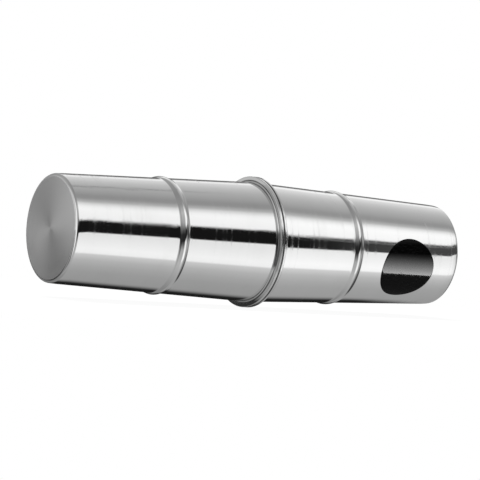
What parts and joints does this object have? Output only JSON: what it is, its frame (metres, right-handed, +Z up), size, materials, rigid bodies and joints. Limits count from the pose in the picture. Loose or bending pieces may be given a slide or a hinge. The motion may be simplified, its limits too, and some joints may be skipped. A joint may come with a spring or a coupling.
{
  "type": "ganza shaker",
  "caption": "Double-tapered tube shaker of two spun aluminium cups bonded mouth to mouth at hemmed flanges, with a rolled bead on each cup and loose steel shot sealed inside.",
  "frame": {"origin": "middle of the tube's length, on its axis", "axes": "+X along the tube towards the labelled cup, +Z up with the tube lying on its side, -Y towards the side that carries the label"},
  "size_m": [0.21, 0.0612, 0.0612],
  "materials": {
    "polished_aluminium": "polished spun aluminium, with a matt turned disc on each end",
    "bond": "dark matt adhesive in the seam",
    "label_film": "glossy black film, bare",
    "steel_shot": "tumbled steel"
  },
  "bodies": {
    "shell": {"near_cup": "polished_aluminium", "far_cup": "polished_aluminium", "seam_bond": "bond", "label": "label_film"},
    "swirling_shot": {"seam_shot": "steel_shot"},
    "near_shot_row_1": {"near_shot_row_1": "steel_shot"},
    "near_shot_row_2": {"near_shot_row_2": "steel_shot"},
    "near_shot_row_3": {"near_shot_row_3": "steel_shot"},
    "near_shot_row_4": {"near_shot_row_4": "steel_shot"},
    "near_shot_row_5": {"near_shot_row_5": "steel_shot"},
    "far_shot_row_1": {"far_shot_row_1": "steel_shot"},
    "far_shot_row_2": {"far_shot_row_2": "steel_shot"},
    "far_shot_row_3": {"far_shot_row_3": "steel_shot"},
    "far_shot_row_4": {"far_shot_row_4": "steel_shot"},
    "far_shot_row_5": {"far_shot_row_5": "steel_shot"}
  },
  "joints": [
    {"name": "shot_swirl", "type": "hinge", "parent": "shell", "child": "swirling_shot", "pos_m": [0, 0, 0], "axis": [1, 0, 0], "continuous": true},
    {"name": "near_row_1_slide", "type": "slide", "parent": "swirling_shot", "child": "near_shot_row_1", "axis": [-0.9994, 0.0135, 0.0313], "range_m": [0, 0.0771]},
    {"name": "near_row_2_slide", "type": "slide", "parent": "swirling_shot", "child": "near_shot_row_2", "axis": [-0.9994, 0.0069, 0.0334], "range_m": [0, 0.0771]},
    {"name": "near_row_3_slide", "type": "slide", "parent": "swirling_shot", "child": "near_shot_row_3", "axis": [-0.9994, 0, 0.0341], "range_m": [0, 0.0771]},
    {"name": "near_row_4_slide", "type": "slide", "parent": "swirling_shot", "child": "near_shot_row_4", "axis": [-0.9994, -0.0069, 0.0334], "range_m": [0, 0.0771]},
    {"name": "near_row_5_slide", "type": "slide", "parent": "swirling_shot", "child": "near_shot_row_5", "axis": [-0.9994, -0.0135, 0.0313], "range_m": [0, 0.0771]},
    {"name": "far_row_1_slide", "type": "slide", "parent": "swirling_shot", "child": "far_shot_row_1", "axis": [0.9994, 0.0132, 0.0308], "range_m": [0, 0.079]},
    {"name": "far_row_2_slide", "type": "slide", "parent": "swirling_shot", "child": "far_shot_row_2", "axis": [0.9994, 0.0068, 0.0328], "range_m": [0, 0.079]},
    {"name": "far_row_3_slide", "type": "slide", "parent": "swirling_shot", "child": "far_shot_row_3", "axis": [0.9994, 0, 0.0335], "range_m": [0, 0.079]},
    {"name": "far_row_4_slide", "type": "slide", "parent": "swirling_shot", "child": "far_shot_row_4", "axis": [0.9994, -0.0068, 0.0328], "range_m": [0, 0.079]},
    {"name": "far_row_5_slide", "type": "slide", "parent": "swirling_shot", "child": "far_shot_row_5", "axis": [0.9994, -0.0132, 0.0308], "range_m": [0, 0.079]}
  ]
}
